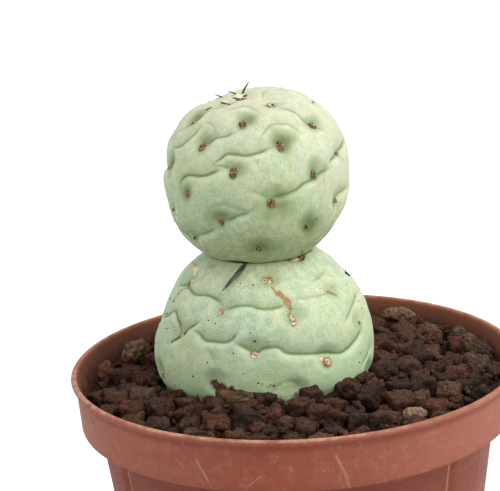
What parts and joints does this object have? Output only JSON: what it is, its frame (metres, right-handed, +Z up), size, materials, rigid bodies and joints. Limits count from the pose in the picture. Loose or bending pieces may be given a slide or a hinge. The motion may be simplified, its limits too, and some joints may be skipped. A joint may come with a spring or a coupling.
{
  "type": "potted cactus",
  "caption": "Small segmented cactus with round, furrowed grey-green stem segments, planted in gravel in a round thin-walled plastic nursery pot.",
  "frame": {"origin": "middle of the pot's foot, on the surface it stands on", "axes": "+Z up through the pot's axis, the front that the picture shows faces -Y, +X to the right"},
  "size_m": [0.105, 0.105, 0.1548],
  "materials": {
    "terracotta_plastic": "matt moulded plastic, scuffed",
    "lava_gravel": "rough, porous lava",
    "woody_bark": "rough, corky",
    "cactus_skin": "matt, bloomed skin",
    "pale_stone": "rough stone",
    "brown_stone": "rough stone",
    "grey_stone": "rough stone",
    "red_stone": "rough, porous lava"
  },
  "bodies": {
    "root": {"pot": "terracotta_plastic", "gravel_bed": "lava_gravel", "root_crown": "woody_bark", "lower_segment": "cactus_skin", "upper_segment": "cactus_skin", "stone_pale_tan": "pale_stone", "stone_block": "brown_stone", "stone_grey": "grey_stone", "stone_tall": "brown_stone", "stone_grey_brown": "grey_stone", "stone_red_porous": "red_stone", "stone_ochre": "brown_stone", "stone_dark": "lava_gravel", "stone_light_tan": "pale_stone"}
  },
  "joints": []
}
